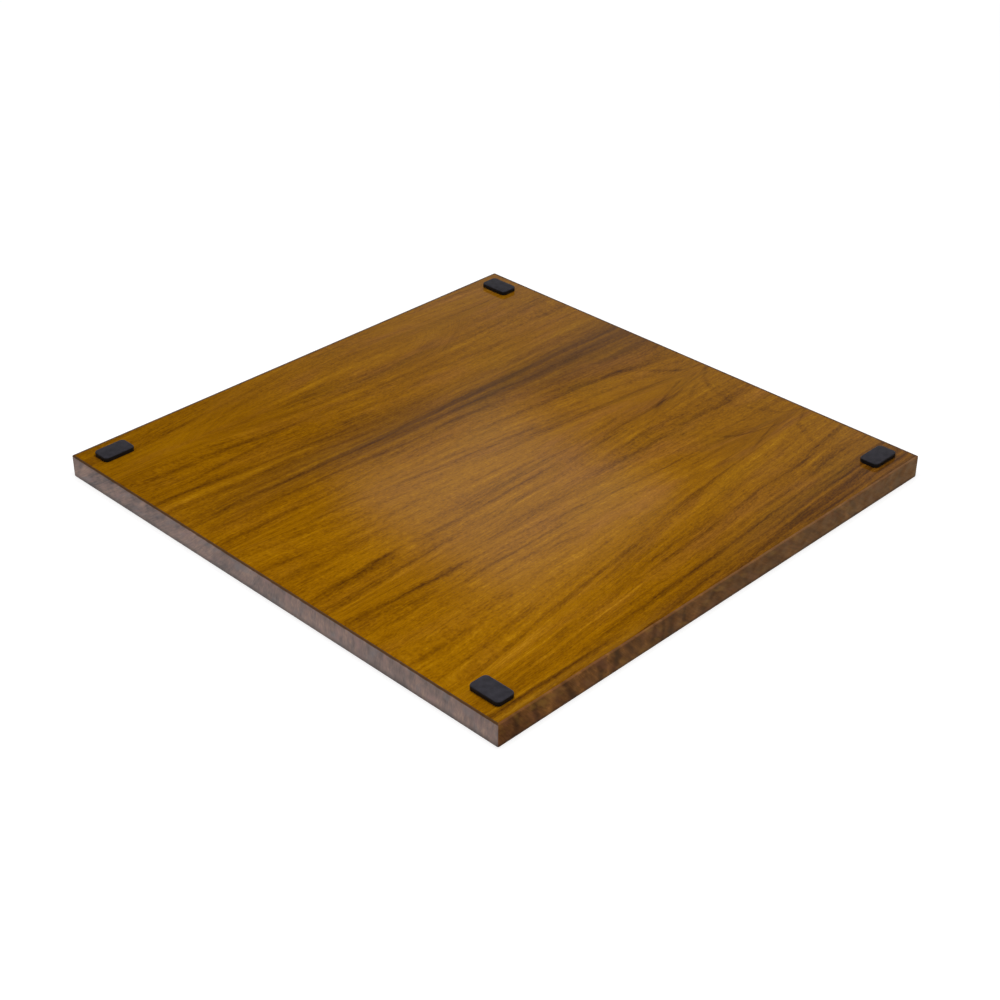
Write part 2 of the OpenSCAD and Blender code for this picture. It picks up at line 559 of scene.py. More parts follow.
@dataclass(frozen=True)
class UndersideVeneer:
    """The golden walnut leaf of the underside, with its own flow of grain and growth lines.

    The tones run from 0, the darkest line, to 1, the brightest.
    """

    lacquer: Lacquer = Lacquer(roughness=0.09, relief=0.005)
    fibres: Fibres = Fibres(
        layers=(
            Cells(260.0, 15.0, 0.24), Cells(110.0, 6.5, 0.24), Cells(12.0, 5.5, 0.16), Cells(80.0, 3.0, 0.20),
            Cells(7.0, 2.4, 0.18), Cells(40.0, 1.3, 0.20), Cells(3.0, 1.0, 0.36), Cells(26.0, 0.8, 0.18),
        ),
        pore=Cells(3.5, 0.5, detail=1.0), pore_depth=0.22, pore_share=0.20)
    sway: Cells = Cells(70.0, 22.0, 2.4, start=3.0, detail=1.0)
    wander: Cells = Cells(11.0, 4.0, 0.9, start=7.0)
    ripple: Cells = Cells(35.0, 0.9, start=5.0)
    breaks: Cells = Cells(40.0, 2.6, start=29.0)
    cloud: Cells = Cells(130.0, 60.0, 0.06, start=53.0, detail=1.0)
    heart_breaks: Cells = Cells(160.0, 3.0, start=31.0)
    patch: Cells = Cells(80.0, 24.0)
    patch_fade: Span = (-0.1, 0.5)
    rim_wander: Cells = Cells(16.0, 9.0, 0.12, start=71.0)
    rim_depth: float = -0.12
    rim_width: float = 0.34
    rim_entry: Span = (-5.0, 20.0)
    straight_cut: float = 11.0
    turned_cut: float = 17.0
    pore_cut: float = 41.0
    line_breaks: Span = (0.5, 1.4)
    heart_streaks: Span = (0.55, 1.2)
    middle_tone: float = 0.55
    line_strength: float = 1.15
    line_edge: float = 1.1
    slope_reach: float = 0.2
    bow_reach: float = 1.0
    left_end: float = -235.0
    right_end: float = 225.0
    bow_limit: float = 200.0
    pull: float = 0.8
    rounds: int = 5
    arch_power: float = 1.4
    arch_core: float = 0.01
    arch_stretch: float = 0.5
    arch_offset: float = 1000.0
    arch_fade: Span = (1.55, 1.15)
    arch_entry: Span = (-45.0, 15.0)
    least_share: float = 0.001
    tones: Tones = (
        (0.00, (0.080, 0.026, 0.0015)),
        (0.25, (0.155, 0.056, 0.0006)),
        (0.55, (0.262, 0.102, 0.0002)),
        (0.80, (0.345, 0.145, 0.0005)),
        (1.00, (0.450, 0.205, 0.0030)),
    )
    heartwood: Colour = (0.070, 0.030, 0.013)
    # Tint patches by noise cut: the pinkish one is partly the wood's hue, partly a painted sheen.
    sheen_and_tints: tuple[tuple[Colour, float], ...] = (((0.260, 0.096, 0.022), 61.0), ((0.260, 0.112, 0.000), 67.0))
    tint_shares: Span = (0.1, 0.4)
    tint_span: Span = (-160.0, 120.0)

    def course(self, graph: Graph, level: Signal) -> tuple[Signal, Signal]:
        """Looks up how the grain runs through a level.

        Args:
            graph: The finish's tree.
            level: The level.

        Returns:
            The slope and the bow there.
        """
        lowest, highest = UNDERSIDE_COURSES[0].level, UNDERSIDE_COURSES[-1].level
        slope_span, bow_span = 2 * self.slope_reach, 2 * self.bow_reach
        stops = []
        for item in UNDERSIDE_COURSES:
            at = (item.level - lowest) / (highest - lowest)
            stops.append((at, (0.5 + item.slope / slope_span, 0.5 + item.bow / bow_span, 0.0)))
        at = graph.remap(level, (lowest, highest), smooth=False)
        slope, bow, _ = graph.split(graph.ramp(at, stops))
        return (slope - 0.5) * slope_span, (bow - 0.5) * (bow_span * MM)

    def level(self, graph: Graph, x: Signal, y: Signal) -> Signal:
        """Finds which level of the grain a place lies on, by substitution.

        Args:
            graph: The finish's tree.
            x: Place along the board.
            y: Place across the board.

        Returns:
            The level.
        """
        reach = graph.math("MINIMUM", graph.math("MAXIMUM", x, self.left_end), self.right_end)
        square = reach * reach
        bowed = square / (square / (self.bow_limit * self.bow_limit) + 1.0)
        level = y
        for _ in range(self.rounds):
            slope, bow = self.course(graph, level)
            straight = y - slope * reach - bow * bowed
            level = level * (1.0 - self.pull) + straight * self.pull
        return level

    def arched(self, graph: Graph, x: Signal, level: Signal) -> tuple[Signal, Signal]:
        """Turns the grain round the ends of the cathedral figures.

        Args:
            graph: The finish's tree.
            x: Place along the board.
            level: Level of the grain.

        Returns:
            The coordinate across the turned grain, and the share of it that shows.
        """
        across, shown = level, 0.0
        for arch in UNDERSIDE_ARCHES:
            beyond = (x - arch.x) * (1.0 if arch.points_right else -1.0)
            radius = self.arch_radius(graph, arch, beyond, level)
            inside = graph.remap(radius, self.arch_fade) * graph.remap(beyond, self.arch_entry) * arch.share
            turned = radius * arch.half_height + (arch.level + self.arch_offset)
            across = blend(across, turned, graph.math("GREATER_THAN", inside, self.least_share))
            shown = graph.math("MAXIMUM", shown, inside)
        return across, shown

    def arch_radius(self, graph: Graph, arch: Arch, beyond: Signal, level: Signal) -> Signal:
        """How far a place lies from the middle of an arch, where its closing line is at 1.

        Args:
            graph: The finish's tree.
            arch: The arch.
            beyond: Place along the board, counted from the arch's middle towards its tip.
            level: Level of the grain.

        Returns:
            The distance.
        """
        forward = graph.math("MAXIMUM", beyond, 0.0) / arch.reach
        upward = abs((level - arch.level) / arch.half_height)
        powers = (graph.math("POWER", part, self.arch_power) for part in (forward, upward))
        return graph.math("POWER", sum(powers, self.arch_core), 1.0 / self.arch_power)

    def arch_rims(self, graph: Graph, x: Signal, level: Signal) -> Signal:
        """The dark growth line that closes each cathedral figure with a rim."""
        total = 0.0
        start, end = self.rim_entry
        for arch in UNDERSIDE_ARCHES:
            if arch.rimmed:
                radius = self.arch_radius(graph, arch, x - arch.x, level)
                radius = radius + self.rim_wander.over(graph, x, level)
                rim = graph.remap(abs(radius - 1.0), (self.rim_width, 0.0))
                total = total + rim * graph.remap(x, (arch.x + start, arch.x + end))
        return total * self.rim_depth

    def line_group(self) -> bpy.types.NodeTree:
        """Builds the group that draws one growth line.

        Returns:
            The group, which takes a place and a line's sizes and gives the tone to add.
        """
        tree = bpy.data.node_groups.new("growth_line", "ShaderNodeTree")
        names = ("sum", "x", "level", "line_level", "start", "end", "width", "depth", "fade", "lean")
        for name in names:
            tree.interface.new_socket(name, in_out="INPUT", socket_type="NodeSocketFloat")
        tree.interface.new_socket("tone", in_out="OUTPUT", socket_type="NodeSocketFloat")
        graph = Graph(tree)
        given = graph.node("NodeGroupInput").outputs[:len(names)]
        before, x, level, line_level, start, end, width, depth, fade, lean = (Signal(graph, s) for s in given)
        middle = (start + end) * 0.5
        offset = abs((level - line_level - (x - middle) * lean) / width)
        drawn = graph.remap(offset, (self.line_edge, 0.0)) * graph.between(x, start, end, fade) * depth
        graph.node("NodeGroupOutput", {0: before + drawn})
        return tree

    @staticmethod
    def drawn(graph: Graph, group: bpy.types.NodeTree, lines: Iterable[GrowthLine], x: Signal,
              level: Signal) -> Signal:
        """Adds up the growth lines of a table.

        Args:
            graph: The finish's tree.
            group: The group that draws one line.
            lines: The table.
            x: Place along the board.
            level: Level of the grain.

        Returns:
            The tone that they add.
        """
        total = 0.0
        for line in lines:
            sizes = (line.level, line.start, line.end, line.width, line.depth, line.fade, line.lean)
            made = graph.node("ShaderNodeGroup", node_tree=group)
            for socket, value in zip(made.inputs, (total, x, level, *sizes)):
                graph.feed(socket, value)
            total = Signal(graph, made.outputs[0])
        return total

    def make(self) -> Material:
        """Makes the material."""
        material, graph = new_finish("underside_walnut")
        x, y, _ = graph.place()
        level = self.level(graph, x, y)
        sway = self.sway.over(graph, x, level)
        level = level + sway + self.wander.over(graph, x, level)
        ripple = self.ripple.over(graph, x, y)
        x = x + sway
        across, shown = self.arched(graph, x, level)
        straight = self.fibres.tone(graph, x, level, self.straight_cut)
        turned = self.fibres.tone(graph, x * self.arch_stretch + level, across, self.turned_cut)
        group = self.line_group()
        lines = self.drawn(graph, group, UNDERSIDE_LINES, x, level) * self.line_strength
        broken = self.breaks.factor(graph, x, level, self.line_breaks)
        figure = (lines + self.arch_rims(graph, x, level)) * broken
        cloud = self.cloud.over(graph, x, y)
        belts = self.drawn(graph, group, UNDERSIDE_BELTS, x, level)
        pores = self.fibres.pores(graph, x, level, self.pore_cut) * self.fibres.pore_depth
        tone = blend(straight, turned, shown) + figure + belts + cloud + self.middle_tone - pores
        colour = graph.ramp(tone, self.tones)
        streaky = self.heart_breaks.factor(graph, x, level, self.heart_streaks)
        heart = self.drawn(graph, group, UNDERSIDE_HEARTWOOD, x, level)
        colour = graph.mix(heart * streaky, colour, self.heartwood)
        # Tint patches that grow towards the right: the pinkish one is partly the wood's own hue and partly a
        # painted sheen; the golden one is the wood's own colour.
        rightwards = graph.remap(x, self.tint_span, self.tint_shares)
        for tint, start in self.sheen_and_tints:
            share = graph.remap(self.patch.over(graph, x, level, start), self.patch_fade) * rightwards
            colour = graph.mix(share, colour, tint, "COLOR")
        self.lacquer.cover(graph, colour, ripple)
        return material


@dataclass(frozen=True)
class BandStreak:
    """A streak across an edge band, by its places along the side at the underside and at the playing side."""

    under: float
    over: float
    width: float
    depth: float


# A row says the two places, the width and the depth.
LEFT_STREAKS = rows(
    BandStreak,
    (-238, -243, 6.0, -0.24), (-219, -226, 9.0, -0.20), (-191, -199, 12.0, -0.22),
    (-151, -156, 9.0, 0.18), (-129, -136, 14.0, -0.16), (-80, -86, 30.0, 0.13), (-28, -33, 6.0, -0.20),
    (-13, -16, 7.0, 0.16), (17, 14, 8.0, -0.12), (27, 24, 9.0, 0.10), (85, 85, 4.0, 0.12),
    (90.5, 90, 2.6, -0.14), (122, 122, 4.0, 0.12), (150, 151, 12.0, -0.10), (168, 179, 7.0, 0.16),
    (190, 191, 7.0, -0.12), (205, 206, 6.0, 0.12), (230, 230, 4.5, 0.12), (247, 247, 5.0, 0.14),
)

BACK_STREAKS = rows(
    BandStreak,
    (-232, -233, 6.5, -0.38), (-216, -210, 5.0, -0.41), (-201, -197, 11.0, 0.32),
    (-185, -173, 5.5, -0.46), (-169, -165, 9.0, 0.28), (-148, -146, 6.0, -0.38), (-139, -138, 6.0, 0.30),
    (-129, -129, 6.5, -0.49), (-120, -106, 6.0, -0.26), (-98, -97, 8.0, 0.18), (-88, -89, 4.5, -0.35),
    (-78, -78, 3.6, -0.38), (-69, -69, 6.0, -0.43), (-54, -55, 3.6, -0.43), (-40, -42, 13.0, 0.16),
    (-15, -35, 7.5, -0.38), (52, 53, 24.0, -0.16), (80, 80, 14.0, 0.10), (131, 142, 10.0, -0.24),
    (141, 155, 6.5, 0.32), (153, 165, 5.5, -0.38), (180, 181, 20.0, 0.08), (211, 212, 6.0, 0.16),
    (223, 223, 8.0, -0.19), (240, 241, 8.0, 0.10),
)


@dataclass(frozen=True)
class BandVeneer:
    """Cross-grained walnut of an edge band, whose grain runs up the side at a slant."""

    side: Side
    seed: float
    streaks: tuple[BandStreak, ...]
    tones: Tones = RUSSET_TONES
    contrast: float = 0.85
    leans: Span = (-0.8, -1.4)
    blush: Colour = (0.19, 0.070, 0.030)
    gild: Colour = (0.27, 0.130, 0.022)
    # A painted sheen: a greyer colour that grows along the side, with its shares at the two ends.
    painted_sheen: Colour = (0.26, 0.165, 0.085)
    painted_sheen_ends: Span = (0.0, 0.0)
    # Colour along the underside arris: partly the glue line, partly painted shade on the rounding; the back
    # band's lighter one is a painted highlight.
    rim: Colour = (0.048, 0.020, 0.004)
    rim_share: float = 0.4
    # Painted shade along the playing-side arris: its colour, how far it reaches and its strongest share.
    edge_shade: Colour = (0.045, 0.026, 0.018)
    edge_reach: float = 4.0
    edge_share: float = 0.45
    lacquer: Lacquer = Lacquer(roughness=0.3, relief=0.02, mirror=0.3)
    drift: Cells = Cells(55.0, 40.0, detail=1.0)
    broad: Cells = Cells(17.0, 60.0, 0.42, start=3.0)
    fine: Cells = Cells(3.2, 14.0, 0.34, start=5.0)
    hair: Cells = Cells(0.8, 5.0, 0.30, start=7.0)
    cloud: Cells = Cells(7.0, 7.0, 0.26, start=13.0)
    wobble: Cells = Cells(14.0, 9.0, 3.0, start=11.0)
    breaks: Cells = Cells(9.0, 7.0, start=17.0)
    streak_breaks: Span = (0.5, 1.3)
    streak_edge: float = 0.8
    patch: Cells = Cells(13.0, 15.0)
    patch_cuts: Span = (19.0, 27.0)
    patch_share: float = 0.6
    lean_span: Span = (-180.0, 80.0)
    drift_slope: float = 0.22
    rim_span: Span = (0.9, 0.2)

    def make(self, sizes: "BoardSizes") -> Material:
        """Makes the material.

        Args:
            sizes: The board's sizes.

        Returns:
            The material.
        """
        low, high, half = (size / MM for size in (sizes.underside_z, sizes.top_z, sizes.outer_half))
        material, graph = new_finish(f"{self.side.label}_band_walnut")
        x, y, z = graph.place()
        along = x if self.side.along is Axis.X else y
        drift = self.drift.over(graph, along, z, self.seed)
        slant = graph.remap(along, self.lean_span, self.leans)
        across = along + z * slant + drift * (z * self.drift_slope - 1.0)
        broad, fine, hair = (c.over(graph, across, z, self.seed) for c in (self.broad, self.fine, self.hair))
        cloud, wobble = (c.over(graph, along, z, self.seed) for c in (self.cloud, self.wobble))
        tone = (broad + fine + hair + cloud) * self.contrast + 0.5
        share = (z - low) / (high - low)
        patchy = self.breaks.factor(graph, along, z, self.streak_breaks, self.seed)
        for streak in self.streaks:
            middle = share * (streak.over - streak.under) + streak.under
            offset = abs(along + wobble - middle)
            drawn = graph.remap(offset, (streak.width * self.streak_edge, 0.0))
            tone = tone + drawn * patchy * streak.depth
        colour = graph.ramp(tone, self.tones)
        for tint, cut in zip((self.blush, self.gild), self.patch_cuts):
            patch = self.patch.over(graph, across, z, self.seed + cut)
            colour = graph.mix(graph.remap(patch, (0.0, 0.5), (0.0, self.patch_share)), colour, tint)
        # Painted sheen: the band turns greyer towards one end of its side.
        painted_sheen_share = graph.remap(along, (-half, half), self.painted_sheen_ends, smooth=False)
        colour = graph.mix(painted_sheen_share * patchy, colour, self.painted_sheen)
        # Painted shade: the band darkens towards the playing-side arris, where the board meets the table.
        arris_shade_span = (high - self.edge_reach, high - sizes.arris_r / MM)
        painted_arris_shade = graph.remap(z + wobble * 0.3 + hair * 4.0, arris_shade_span)
        colour = graph.mix(painted_arris_shade * self.edge_share, colour, self.edge_shade)
        # The rim along the underside arris: painted shade and glue line in the dark rims, a painted highlight
        # in the back band's light one.
        under = graph.remap(z + hair * 0.8 + cloud * 2.5, tuple(low + reach for reach in self.rim_span))
        colour = graph.mix(under * self.rim_share, colour, self.rim)
        self.lacquer.cover(graph, colour, hair)
        return material


@dataclass(frozen=True)
class PlayingVeneer:
    """Long-grained veneer of the playing side: its tones, its fibres and its coat."""

    name: str
    tones: Tones
    fibres: Fibres
    lacquer: Lacquer = Lacquer(roughness=0.22, relief=0.01, mirror=0.3)

    def dress(self, graph: Graph, tone: Signal, pores: Signal) -> None:
        """Ends the tree with the wood's colour, its pores sunk."""
        colour = graph.ramp(tone - pores * self.fibres.pore_depth + 0.5, self.tones)
        self.lacquer.cover(graph, colour, pores * -1.0)


@dataclass(frozen=True)
class StripVeneer(PlayingVeneer):
    """A strip of the playing side, such as a border or a stringing line."""

    along: Axis = Axis.X
    seed: float = 0.0
    slant: float = 0.0
    wander: Cells = Cells(120.0, 40.0, 3.0, detail=1.0)

    def make(self) -> Material:
        """Makes the material."""
        material, graph = new_finish(self.name)
        x, y, _ = graph.place()
        along, across = (x, y) if self.along is Axis.X else (y, x)
        across = across + along * self.slant
        across = across + self.wander.over(graph, along, across, self.seed)
        streaks = self.fibres.tone(graph, along, across, self.seed + 1.0)
        self.dress(graph, streaks, self.fibres.pores(graph, along, across, self.seed + 2.0))
        return material


@dataclass(frozen=True)
class SquareVeneer(PlayingVeneer):
    """The light or the dark squares, cut afresh for each square."""

    lean: float = 0.12
    spread: float = 0.22
    cut_length: float = 900.0
    shuffle: float = 37.0
    wander: Cells = Cells(45.0, 30.0, 2.2, detail=1.0)

    def make(self) -> Material:
        """Makes the material."""
        material, graph = new_finish(self.name)
        x, y, _ = graph.place()
        tile = graph.stored("tile")
        cut = tile * self.cut_length
        along = x + cut
        across = y + x * ((tile - 0.5) * (2.0 * self.lean)) + cut
        across = across + self.wander.over(graph, x, y, cut)
        tint = (graph.math("FRACT", tile * self.shuffle) - 0.5) * self.spread
        streaks = self.fibres.tone(graph, along, across) + tint
        self.dress(graph, streaks, self.fibres.pores(graph, along, across))
        return material


@dataclass(frozen=True)
class Rubber:
    """Moulded black rubber with a fine matt grain; its sole is greyer, partly with dirt and partly with a
    painted sheen.
    """

    colour: Colour = (0.006, 0.006, 0.007)
    # Greyer colour of the sole: partly dirt, partly a painted sheen.
    dust_and_sheen: Colour = (0.041, 0.038, 0.048)
    grain_size: float = 0.35
    cloud_size: float = 5.0
    sole_span: Span = (0.9, 0.1)
    lacquer: Lacquer = Lacquer(roughness=0.5, relief=0.006, mirror=0.25)

    def make(self) -> Material:
        """Makes the material."""
        material, graph = new_finish("foot_rubber")
        place = graph.place()
        grain = graph.noise([axis / self.grain_size for axis in place])
        cloud = graph.noise([axis / self.cloud_size for axis in place], detail=3.0)
        # The sole turns greyer: partly dirt, partly a painted sheen that lightens the sole against the darker
        # walls.
        sole = graph.remap(place[2], self.sole_span)
        lighter_sole_share = sole * graph.remap(cloud + grain * 0.6, (-0.6, 0.6), (0.5, 1.0))
        self.lacquer.cover(graph, graph.mix(lighter_sole_share, self.colour, self.dust_and_sheen), grain + cloud * 0.5)
        return material


@dataclass(frozen=True)
class Grainy:
    """A plain finish with speckles, for what hardly shows: the core panel and the foot tapes."""

    name: str
    dark: Colour
    light: Colour
    grain: float
    lacquer: Lacquer

    def make(self) -> Material:
        """Makes the material."""
        material, graph = new_finish(self.name)
        speck = graph.noise([axis / self.grain for axis in graph.place()], detail=4.0, rough=0.7)
        shade = graph.remap(speck, NOISE_SPAN)
        self.lacquer.cover(graph, graph.mix(shade, self.dark, self.light), speck)
        return material


def new_piece(name: str, points: list, faces: list, finish: Material) -> bpy.types.Object:
    """Makes a mesh piece at the board's origin, with points that coincide joined to one.

    Args:
        name: The piece's name.
        points: Its points, in metres.
        faces: Its faces, wound outwards.
        finish: Its material.

    Returns:
        The piece.
    """
    mesh = bpy.data.meshes.new(name)
    mesh.from_pydata(points, [], faces)
    solid = bmesh.new()
    solid.from_mesh(mesh)
    bmesh.ops.remove_doubles(solid, verts=solid.verts, dist=JOIN_LIMIT)
    solid.to_mesh(mesh)
    solid.free()
    mesh.validate()
    mesh.materials.append(finish)
    piece = bpy.data.objects.new(name, mesh)
    bpy.context.scene.collection.objects.link(piece)
    return piece


def shade_soft(piece: bpy.types.Object, limit: float) -> None:
    """Smooths a piece's shading across edges that turn less than a limit in degrees."""
    with bpy.context.temp_override(active_object=piece, object=piece, selected_editable_objects=[piece]):
        bpy.ops.object.shade_smooth_by_angle(angle=math.radians(limit))


def settle(piece: bpy.types.Object, slot: str, nodes: Iterable[str]) -> None:
    """Fixes a new piece to the board and hides the frame's nodes that it stands for.

    Args:
        piece: The piece.
        slot: Name of the material slot for its finish, which is only logged.
        nodes: The frame's nodes that it stands for.
    """
    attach(piece, "root")
    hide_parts(*nodes)
    log.info("%s: %d faces, slot %s", piece.name, len(piece.data.polygons), slot)


def dress_node(frame: dict, node: str, finish: Material) -> None:
    """Gives a node of the frame its finish.

    Args:
        frame: The loaded frame.
        node: The node's name.
        finish: Its material.
    """
    mesh = frame["nodes"][node].data
    mesh.materials.clear()
    mesh.materials.append(finish)
    log.info("%s: dressed with %s", node, finish.name)


def quarter(steps: int) -> list[Span]:
    """Sines and cosines of the angles that cut a quarter turn into equal steps."""
    angles = [math.pi / 2 * step / steps for step in range(steps + 1)]
    return [(math.sin(angle), math.cos(angle)) for angle in angles]


def skin(rings: Sequence[Sequence]) -> tuple[list, list]:
    """Closes a row of rings of points to a solid.

    Args:
        rings: The rings, all with the same number of points.

    Returns:
        The points and the faces.
    """
    size = len(rings[0])
    points = [point for ring in rings for point in ring]
    last = len(points) - size
    faces = []
    for start in range(0, last, size):
        for step in range(size):
            here, following = start + step, start + (step + 1) % size
            faces.append((here, here + size, following + size, following))
    faces.append(tuple(range(size)))
    faces.append(tuple(reversed(range(last, last + size))))
    return points, faces


@dataclass
class BoardSizes:
    """Sizes of the board, read from the frame where its boxes show them."""

    outer_half: float
    inner_half: float
    field_half: float
    underside_z: float
    inlay_z: float
    top_z: float
    arris_r: float = 1.5 * MM
    corner_r: float = 1.5 * MM
    files: int = 8

    @classmethod
    def from_frame(cls) -> "BoardSizes":
        """Reads the sizes from the frame's boxes."""
        band_low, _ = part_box("front_edge_band")
        line_low, line_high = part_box("front_line")
        return cls(
            outer_half=-band_low.y,
            inner_half=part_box("underside_veneer")[1].x,
            field_half=-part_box("rank_1_dark_squares")[0].x,
            underside_z=band_low.z,
            inlay_z=line_low.z,
            top_z=line_high.z,
        )

    @property
    def square(self) -> float:
        """Side of one playing square."""
        return 2 * self.field_half / self.files


@dataclass
class EdgeBands:
    """The four bands round the board: mitred, rounded at the playing side and at the upright corners."""

    sizes: BoardSizes
    ease: float = 0.3 * MM
    ease_steps: int = 3
    arc_steps: int = 10
    corner_steps: int = 8
    straight_steps: int = 10
    mitre: float = 45.0
    soft_limit: float = 40.0
    slot: str = "edge_walnut"

    def section(self, inner: float) -> list[Span]:
        """Outline of the band where it is cut square to its face.

        Args:
            inner: Distance of the band's inner wall from the corner's centre.

        Returns:
            Distances from the corner's centre with heights, from the inner foot round to the inner top.
        """
        s = self.sizes
        outer, centre_z = s.corner_r, s.top_z - s.arris_r
        points = [(inner, s.underside_z)]
        for sine, cosine in quarter(self.ease_steps):
            points.append((outer - self.ease * (1 - sine), s.underside_z + self.ease * (1 - cosine)))
        for sine, cosine in quarter(self.arc_steps):
            points.append((outer - s.arris_r * (1 - cosine), centre_z + s.arris_r * sine))
        points.append((inner, s.top_z))
        return points

    def stations(self) -> list[tuple[float, float, float]]:
        """Places of the cuts: the x of each cut's centre, its angle in radians and its inner distance.

        The corner's centre lies on the mitre, past the end of the band's inner wall.
        """
        centre = self.sizes.outer_half - self.sizes.corner_r
        end = self.sizes.inner_half
        reach = math.radians(self.mitre)
        turns = [reach * step / self.corner_steps for step in range(self.corner_steps + 1)]
        left = [(-centre, -turn, 0.0) for turn in reversed(turns)]
        shares = [2 * step / self.straight_steps - 1 for step in range(self.straight_steps + 1)]
        straight = [(end * share, 0.0, end - centre) for share in shares]
        right = [(centre, turn, 0.0) for turn in turns]
        return left + straight + right

    def mesh(self, side: Side) -> tuple[list, list]:
        """Points and faces of one band.

        Args:
            side: The band's side.

        Returns:
            The points and the faces.
        """
        centre = self.sizes.outer_half - self.sizes.corner_r
        turned = Matrix.Rotation(math.radians(side.value), 3, "Z")
        rings = []
        for x, turn, inner in self.stations():
            outward = Vector((math.sin(turn), -math.cos(turn), 0))
            outline = self.section(inner)
            rings.append([turned @ (Vector((x, -centre, z)) + outward * reach) for reach, z in outline])
        return skin(rings)

    def build(self, finishes: dict[Side, Material]) -> None:
        """Makes the four bands.

        Args:
            finishes: The finish of each side.
        """
        for side in Side:
            piece = new_piece(f"{side.label}_band", *self.mesh(side), finishes[side])
            shade_soft(piece, self.soft_limit)
            settle(piece, self.slot, [f"{side.label}_edge_band"])


@dataclass
class RubberFeet:
    """The four moulded feet, with rounded corners and an eased edge round the sole."""

    corner_r: float = 4 * MM
    ease_r: float = 1.0 * MM
    top_ease: float = 0.15 * MM
    corner_steps: int = 10
    ease_steps: int = 6
    top_steps: int = 2
    soft_limit: float = 35.0
    slot: str = "foot_rubber"

    def outline(self, length: float, width: float, inset: float) -> list[Span]:
        """Rounded rectangle round a foot's middle.

        Args:
            length: The foot's side along X.
            width: The foot's side along Y.
            inset: How far the outline lies inside the foot's own.

        Returns:
            The outline's points, anticlockwise from above.
        """
        points = []
        for turn in range(4):
            x = (length / 2 - self.corner_r) * (1 if turn in (0, 3) else -1)
            y = (width / 2 - self.corner_r) * (1 if turn in (0, 1) else -1)
            for step in range(self.corner_steps + 1):
                angle = math.pi / 2 * (turn + step / self.corner_steps)
                radius = self.corner_r - inset
                points.append((x + radius * math.cos(angle), y + radius * math.sin(angle)))
        return points

    def rings(self, height: float) -> list[Span]:
        """Insets and heights of the outlines, from the tape's side down to the sole."""
        ease, rings = self.top_ease, []
        for sine, cosine in quarter(self.top_steps):
            rings.append((ease * (1 - sine), height - ease * (1 - cosine)))
        for sine, cosine in quarter(self.ease_steps):
            rings.append((self.ease_r * (1 - cosine), self.ease_r * (1 - sine)))
        return rings

    def build(self, finish: Material) -> None:
        """Makes the four feet in the places of the frame's.

        Args:
            finish: Their finish.
        """
        for corner in Corner:
            node = f"{corner.label}_foot"
            low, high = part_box(node)
            middle = (low + high) / 2
            rings = []
            for inset, z in self.rings(high.z - low.z):
                outline = self.outline(high.x - low.x, high.y - low.y, inset)
                rings.append([(middle.x + x, middle.y + y, low.z + z) for x, y in outline])
            piece = new_piece(f"{corner.label}_rubber_foot", *skin(rings), finish)
            shade_soft(piece, self.soft_limit)
            settle(piece, self.slot, [node])


